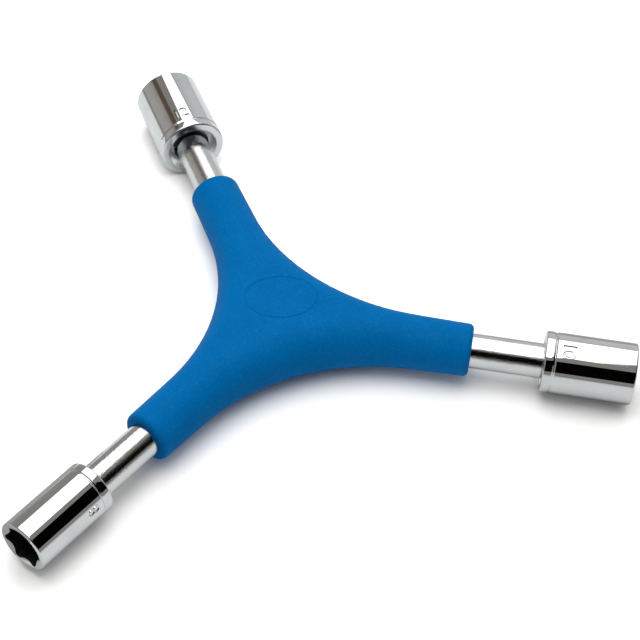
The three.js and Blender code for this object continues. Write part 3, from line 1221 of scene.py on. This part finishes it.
@dataclass
class Socket:
    """A pull-off socket: a turned body with a square drive hole behind and a lobed mouth in front."""

    arm: Arm
    detent: Detent
    rear: float = 60.5 * MM
    length: float = 20.6 * MM
    rear_round: float = 0.45 * MM
    front_round: float = 0.4 * MM
    lip_round: float = 0.12 * MM
    countersink_depth: float = 1.2 * MM
    countersink_floor_radius: float = 4.5 * MM
    bore_radius: float = 2.7 * MM
    groove_start: float = 2 * MM
    groove_width: float = 0.7 * MM
    groove_depth: float = 0.22 * MM
    groove_round: float = 0.22 * MM
    drive_fit: float = 0.2 * MM
    drive_hole_corner: float = 0.25 * MM
    drive_end_clearance: float = 0.6 * MM
    hex_depth: float = 9.5 * MM
    hex_fit: float = 0.1 * MM
    hex_turn: float = math.radians(8)
    lobe_relief: float = 0.25 * MM
    lobe_radius: float = 1.1 * MM
    lobe_half_angle: float = math.radians(60)
    mouth_margin: float = 0.06 * MM
    mouth_fall: float = 0.4
    number_station: float = 5.4 * MM
    number_height: float = 3.1 * MM
    number_depth: float = 0.24 * MM
    number_lift: float = 0.03 * MM
    number_slope: float = 0.055
    number_weight: float = -0.024
    recess_fit: float = 0.15 * MM
    recess_fall: float = 0.15
    recess_steps: int = 8
    recess_sides: int = 32
    cone_facing: float = 0.5
    wall_facing: float = 0.3
    sides: int = 192
    round_steps: int = 5
    lobe_steps: int = 14

    @property
    def radius(self) -> float:
        """The body's outer radius."""
        return self.arm.socket_diameter / 2

    @property
    def front(self) -> float:
        """The station of the mouth's rim."""
        return self.rear + self.length

    @property
    def countersink_floor(self) -> float:
        """The station of the countersink's floor."""
        return self.rear + self.countersink_depth

    @property
    def drive_hole_half(self) -> float:
        """The distance of the drive hole's flats from the axis."""
        return self.detent.shank.drive_across_flats / 2 + self.drive_fit

    @property
    def flat(self) -> float:
        """The distance of the mouth's flats from the axis."""
        return self.arm.hex_across_flats / 2 + self.hex_fit

    @property
    def lobe_reach(self) -> float:
        """The distance of the corner pockets' bottoms from the axis."""
        return self.flat / math.cos(HALF_SIXTH) + self.lobe_relief

    @property
    def mouth(self) -> float:
        """The radius of the mouth's cone at the rim."""
        return self.lobe_reach + self.mouth_margin

    def body(self) -> Piece:
        """The turned body, with its countersink, ring groove, round bore and coned mouth.

        Returns:
            The body, along +X.
        """
        radius = self.radius
        groove = self.rear + self.groove_start
        floor = self.countersink_floor
        cone_depth = self.mouth_fall * (self.mouth - self.bore_radius)
        return turned(f"socket_{self.arm.size}_plated", rounded([
            (self.rear, radius - self.arm.rear_land, self.lip_round),
            (self.rear, radius, self.rear_round),
            (groove, radius, self.lip_round),
            (groove + self.groove_width / 2, radius - self.groove_depth, self.groove_round),
            (groove + self.groove_width, radius, self.lip_round),
            (self.front, radius, self.front_round),
            (self.front, self.mouth, self.lip_round),
            (self.front - cone_depth, self.bore_radius, 0),
            (floor, self.bore_radius, 0),
            (floor, self.countersink_floor_radius, 0),
        ], self.round_steps), self.sides)

    def drive_hole(self) -> Piece:
        """The cutter for the square drive hole.

        Returns:
            The cutter.
        """
        start = self.rear - CUTTER_OVERRUN
        end = self.detent.shank.drive_end + self.drive_end_clearance
        half = self.drive_hole_half
        square = (half, half), (-half, half), (-half, -half), (half, -half)
        corners = [(y, z, self.drive_hole_corner) for y, z in square]
        outline = [Vector((start, y, z)) for y, z in rounded(corners, self.round_steps)]
        hole = prism("drive_hole", outline, end - start)
        place(hole, Matrix.Rotation(self.detent.shank.drive_turn, 4, "X"))
        return hole

    def hex_mouth(self) -> Piece:
        """The cutter for the mouth: round pockets at six corners, and flats that bow gently inwards.

        Returns:
            The cutter.
        """
        floor = self.front - self.hex_depth
        pocket = self.lobe_reach - self.lobe_radius
        end = Vector((math.cos(self.lobe_half_angle), math.sin(self.lobe_half_angle))) * self.lobe_radius
        end.x += pocket
        towards_flat = end.x * math.cos(HALF_SIXTH) + end.y * math.sin(HALF_SIXTH)
        half_chord = end.x * math.sin(HALF_SIXTH) - end.y * math.cos(HALF_SIXTH)
        outline = []
        for corner in range(HEX_CORNERS):
            angle = self.hex_turn + corner * SIXTH_TURN
            for step in range(self.lobe_steps + 1):
                lobe = angle + self.lobe_half_angle * (2 * step / self.lobe_steps - 1)
                y = pocket * math.cos(angle) + self.lobe_radius * math.cos(lobe)
                z = pocket * math.sin(angle) + self.lobe_radius * math.sin(lobe)
                outline.append(Vector((floor, y, z)))
            facing = angle + HALF_SIXTH
            for step in range(1, self.lobe_steps):
                share = 2 * step / self.lobe_steps - 1
                out = self.flat + (towards_flat - self.flat) * share**2
                along = half_chord * share
                y = out * math.cos(facing) - along * math.sin(facing)
                z = out * math.sin(facing) + along * math.cos(facing)
                outline.append(Vector((floor, y, z)))
        return prism("hex_mouth", outline, self.hex_depth + CUTTER_OVERRUN)

    def ball_recess(self, turn: float) -> Piece:
        """The cutter for a recess in one flat of the drive hole: the ball's path as the socket is pulled.

        Args:
            turn: The direction that the recess faces, from +Z.

        Returns:
            The cutter.
        """
        radius = self.detent.ball_radius + self.recess_fit
        rise = self.detent.ball_height + radius - self.drive_hole_half
        length = math.hypot(rise, rise / self.recess_fall)
        outline = []
        for middle, first in ((0, 0), (-length, QUARTER_TURN)):
            for step in range(self.recess_steps + 1):
                angle = first + QUARTER_TURN * step / self.recess_steps
                outline.append((middle + radius * math.cos(angle), radius * math.sin(angle)))
        recess = turned("ball_recess", outline, self.recess_sides)
        start = Matrix.Translation((self.detent.shank.ball_station, 0, self.detent.ball_height))
        lean = Matrix.Rotation(-math.atan(self.recess_fall), 4, "Y")
        place(recess, Matrix.Rotation(turn, 4, "X") @ start @ lean)
        return recess

    def number(self) -> Piece:
        """The cutter for the size number: plain digits wrapped round the body, feet towards the rear.

        Returns:
            The cutter.
        """
        text = primitive("number", bpy.ops.object.text_add).data
        text.body = self.arm.mark
        text.align_x = "CENTER"
        text.align_y = "CENTER"
        text.offset = self.number_weight
        text.bevel_depth = self.number_slope
        text.bevel_resolution = 0
        text.extrude = self.number_slope
        bpy.ops.object.convert(target="MESH")
        digits = bpy.context.object
        heights = [vertex.co.y for vertex in digits.data.vertices]
        scale = self.number_height / (max(heights) - min(heights))
        middle = (max(heights) + min(heights)) / 2
        start = math.radians(self.arm.number_turn_degrees)
        for vertex in digits.data.vertices:
            angle = start + vertex.co.x * scale / self.radius
            rise = (vertex.co.z / self.number_slope + 1) * (self.number_depth + self.number_lift)
            radius = self.radius + self.number_lift + rise
            station = self.rear + self.number_station + (vertex.co.y - middle) * scale
            vertex.co = (station, radius * math.cos(angle), radius * math.sin(angle))
        clean(digits)
        return digits

    def build(self) -> Piece:
        """Models the socket.

        Returns:
            The socket, along +X.
        """
        socket = self.body()
        for cutter in (self.drive_hole(), self.hex_mouth(), self.number()):
            cut(socket, cutter)
        for index in range(DRIVE_FLATS):
            cut(socket, self.ball_recess(self.detent.shank.drive_turn + index * QUARTER_TURN))
        smooth(socket)
        even_normals(socket)
        return socket

    def is_inside(self, face: bpy.types.MeshPolygon) -> bool:
        """Whether a face belongs to the drive hole, the bore or the mouth's walls.

        Args:
            face: The face.

        Returns:
            True past the countersink's cone, apart from the mouth's cone and the outside.
        """
        radial = Vector((0, face.center.y, face.center.z))
        past_cone = face.center.x > self.countersink_floor - self.lip_round
        near_mouth = face.center.x > self.front - self.hex_depth / 2
        on_mouth_cone = near_mouth and face.normal.x > self.cone_facing
        inwards = face.normal.dot(radial.normalized()) < self.wall_facing
        return past_cone and not on_mouth_cone and inwards and radial.length < self.radius - self.rear_round

    def is_rear(self, face: bpy.types.MeshPolygon) -> bool:
        """Whether a face belongs to the rear land or the countersink's cone."""
        before_floor = face.center.x < self.countersink_floor - self.lip_round
        return before_floor and face.normal.x < -self.wall_facing

    def dress(self, socket: Piece) -> None:
        """Gives the outside, the bores and the rear their finishes and ties the socket to the frame."""
        finishes = {
            SocketFace.OUTSIDE: MIRROR_CHROME,
            SocketFace.BORE: BORE_OXIDE_AND_SHADE,
            SocketFace.REAR: FACED_CHROME,
        }
        socket.data.materials.clear()
        for finish in finishes.values():
            socket.data.materials.append(finish.material(self.arm.turn))
        for face in socket.data.polygons:
            # Faces inside the bores and the mouth take the near-black finish: partly dark oxide, partly
            # painted shade of the hollows
            if self.is_inside(face):
                face.material_index = SocketFace.BORE.value
            elif self.is_rear(face):
                face.material_index = SocketFace.REAR.value
        place(socket, self.arm.place)
        seat(socket, f"socket_{self.arm.size}_body", f"socket_{self.arm.size}")


@dataclass
class Studio:
    """The photograph's camera, a pale floor, soft lights overhead, and cards for the chrome to reflect."""

    azimuth: float = math.radians(35.84)
    elevation: float = math.radians(48.377)
    roll: float = math.radians(3.968)
    distance: float = 402.915 * MM
    focal_pixels: float = 1771.19
    image_pixels: float = 640
    crossing_pixel: tuple[float, float] = (277.51, 321.96)
    sensor_mm: float = 36
    near_clip: float = 10 * MM
    floor_half: float = 3.0
    light_height: float = 0.43
    light_turn: float = math.radians(-15)
    softbox_reach: Reach = (0.345, 0.135, 0.13, 0.60)
    softbox_radiance: float = 1.85
    key_reach: Reach = (0.14, 0.12, 0.18, 0.08)
    key_radiance: float = 4.6
    fill_reach: Reach = (3.0, 3.0, 3.0, 3.0)
    fill_height: float = 2.5
    fill_radiance: float = 1.0
    card_radius: float = 0.75
    card_low: float = math.radians(13)
    card_high: float = math.radians(54)
    card_turns: tuple[float, float] = (math.radians(-80), math.radians(38))
    card_steps: int = 24
    card_lift: float = 0.02 * MM
    left_corners: tuple = ((-0.004, -0.11), (-0.004, -0.05), (-2.9, -0.5), (-2.9, 0.9))
    far_corners: tuple = ((-0.03, 0.035), (0.15, 0.1), (-0.9, 2.9), (1.2, 2.9))
    room_colour: Colour = (0.29, 0.278, 0.255)
    left_colour: Colour = (0.46, 0.445, 0.415)
    left_turn: float = math.radians(100)
    left_spread: tuple[float, float] = (0.8, 1.0)
    far_colour: Colour = (0.68, 0.69, 0.70)
    far_turn: float = math.radians(10)
    far_spread: tuple[float, float] = (0.45, 0.95)
    shade_colour: Colour = (0.13, 0.095, 0.065)
    shade_turn: float = math.radians(90)
    shade_rise: float = math.radians(34)
    shade_spread: tuple[float, float] = (0.99, 0.999)
    backdrop_colour: Colour = (0.86, 0.86, 0.86)

    def camera(self) -> None:
        """Sets the camera where the photograph was taken from."""
        back = Vector((
            math.sin(self.azimuth) * math.cos(self.elevation),
            -math.cos(self.azimuth) * math.cos(self.elevation),
            math.sin(self.elevation),
        ))
        level = Vector((math.cos(self.azimuth), math.sin(self.azimuth), 0))
        upright = back.cross(level)
        right = math.cos(self.roll) * level + math.sin(self.roll) * upright
        up = math.cos(self.roll) * upright - math.sin(self.roll) * level
        to_metres = self.distance / self.focal_pixels
        aside = (self.image_pixels / 2 - self.crossing_pixel[0]) * to_metres
        above = (self.crossing_pixel[1] - self.image_pixels / 2) * to_metres
        eye = right * aside + up * above + back * self.distance + Vector((0, 0, ARM_PLANE))
        lens = bpy.data.cameras.new("camera")
        lens.sensor_width = self.sensor_mm
        lens.lens = self.focal_pixels * self.sensor_mm / self.image_pixels
        lens.clip_start = self.near_clip
        camera = bpy.data.objects.new("camera", lens)
        camera.matrix_world = Matrix.Translation(eye) @ Matrix((right, up, back)).transposed().to_4x4()
        bpy.context.collection.objects.link(camera)
        bpy.context.scene.camera = camera

    def floor(self, height: float) -> Piece:
        """Lays the pale floor.

        Args:
            height: The object's lowest point.

        Returns:
            The floor.
        """
        floor = primitive("floor", bpy.ops.mesh.primitive_plane_add, size=2 * self.floor_half)
        place(floor, Matrix.Translation((0, 0, height)))
        floor.data.materials.append(PALE_PAPER.material())
        floor.visible_glossy = False
        return floor

    def table_card(self, name: str, corners: tuple, height: float, finish: Finish) -> None:
        """Lays a card on the floor that only reflections see.

        Args:
            name: The card's name.
            corners: Its four corners, as a grid's: low, right, left and far.
            height: Its height.
            finish: Its finish.
        """
        card = primitive(name, bpy.ops.mesh.primitive_grid_add, x_subdivisions=1, y_subdivisions=1)
        for vertex, corner in zip(card.data.vertices, corners):
            vertex.co = (*corner, height)
        card.data.materials.append(finish.material())
        card.visible_camera = False
        card.visible_diffuse = False
        card.visible_shadow = False

    def light(self, name: str, reach: Reach, radiance: float, height: float) -> Piece:
        """Hangs a soft light over the object.

        Args:
            name: The light's name.
            reach: How far it goes to the left, to the right, towards the camera and away from it.
            radiance: Its brightness.
            height: Its height.

        Returns:
            The light.
        """
        left, right, near, far = reach
        lamp = bpy.data.lights.new(name, "AREA")
        lamp.shape = "RECTANGLE"
        lamp.size = left + right
        lamp.size_y = near + far
        lamp.energy = math.pi * radiance * lamp.size * lamp.size_y
        softbox = bpy.data.objects.new(name, lamp)
        softbox.visible_camera = False
        turn = Matrix.Rotation(self.azimuth + self.light_turn, 4, "Z")
        softbox.matrix_world = turn @ Matrix.Translation(((right - left) / 2, (far - near) / 2, height))
        bpy.context.collection.objects.link(softbox)
        return softbox

    def floor_fill(self, floor: Piece) -> None:
        """Evens out the floor with a light that reaches nothing else.

        Args:
            floor: The floor.
        """
        fill = self.light("floor_fill", self.fill_reach, self.fill_radiance, self.fill_height)
        fill.visible_glossy = False
        lit = bpy.data.collections.new("lit_floor")
        lit.objects.link(floor)
        fill.light_linking.receiver_collection = lit

    def dark_card(self) -> None:
        """Stands a curved dark card behind and beside the camera, for the chrome to reflect."""
        low = self.card_radius * math.tan(self.card_low)
        high = self.card_radius * math.tan(self.card_high)
        steps = {"x_subdivisions": self.card_steps, "y_subdivisions": 1}
        card = primitive("dark_card", bpy.ops.mesh.primitive_grid_add, size=1, **steps)
        first, last = self.card_turns
        for vertex in card.data.vertices:
            turn = first + (last - first) * (vertex.co.x + GRID_HALF)
            height = low + (high - low) * (vertex.co.y + GRID_HALF)
            vertex.co = (self.card_radius * math.cos(turn), self.card_radius * math.sin(turn), height)
        card.data.materials.append(BLACK_FELT.material())
        card.visible_camera = False
        card.visible_shadow = False

    def room(self) -> None:
        """Fills the room with dim light, paler or darker in some directions, before a pale backdrop."""
        world = bpy.data.worlds.new("studio_room")
        world.use_nodes = True
        graph = Graph(world.node_tree)
        direction = graph.add("ShaderNodeTexCoord").outputs["Generated"]
        colour = graph.add("ShaderNodeRGB").outputs["Color"]
        colour.default_value = (*self.room_colour, 1)
        left = self.left_turn, 0, self.left_colour, self.left_spread
        far = self.far_turn, 0, self.far_colour, self.far_spread
        shade = self.shade_turn, self.shade_rise, self.shade_colour, self.shade_spread
        for turn, rise, patch, spread in (left, far, shade):
            level = math.cos(rise)
            towards = (-math.sin(turn) * level, math.cos(turn) * level, math.sin(rise))
            sides = {0: direction, 1: towards}
            facing = graph.add("ShaderNodeVectorMath", sides, operation="DOT_PRODUCT")
            mask = graph.spread(facing.outputs["Value"], spread, UNIT)
            mixed = graph.tint(mask, self.room_colour, patch)
            graph.feed(mixed.node, graph.MIX_FIRST, colour)
            colour = mixed
        seen = graph.add("ShaderNodeLightPath").outputs["Is Camera Ray"]
        mixed = graph.tint(seen, self.room_colour, self.backdrop_colour)
        graph.feed(mixed.node, graph.MIX_FIRST, colour)
        graph.feed(world.node_tree.nodes["Background"], "Color", mixed)
        bpy.context.scene.world = world

    def build(self, floor_height: float) -> None:
        """Sets up the whole studio.

        Args:
            floor_height: The object's lowest point.
        """
        self.camera()
        self.floor_fill(self.floor(floor_height))
        half = self.floor_half
        table = ((-half, -half), (half, -half), (-half, half), (half, half))
        self.table_card("table_card", table, floor_height + self.card_lift, TABLE_PAPER)
        self.table_card("left_card", self.left_corners, floor_height + 2 * self.card_lift, GREY_PAPER)
        self.table_card("far_card", self.far_corners, floor_height + 2 * self.card_lift, GREY_PAPER)
        self.light("overhead_softbox", self.softbox_reach, self.softbox_radiance, self.light_height)
        self.light("overhead_key", self.key_reach, self.key_radiance, self.light_height)
        self.dark_card()
        self.room()
        bpy.context.scene.view_settings.view_transform = "Standard"
        log.info("studio: floor at %.2f mm", floor_height / MM)


def main() -> None:
    """Builds the pieces in order, then the studio."""
    logging.basicConfig(level=logging.INFO, format="%(message)s")
    shank = Shank()
    handle = Handle(shank)
    handle.dress(handle.build())
    detent = Detent(shank)
    models = shank.build(), detent.ball(), detent.spring()
    for arm in ARMS:
        shank.dress(models[0], arm)
        detent.dress(models[1], models[2], arm)
        socket = Socket(arm, detent)
        socket.dress(socket.build())
    for model in models:
        bpy.data.objects.remove(model)
    Studio().build(cad_box[0].z)


if __name__ == "__main__":
    main()
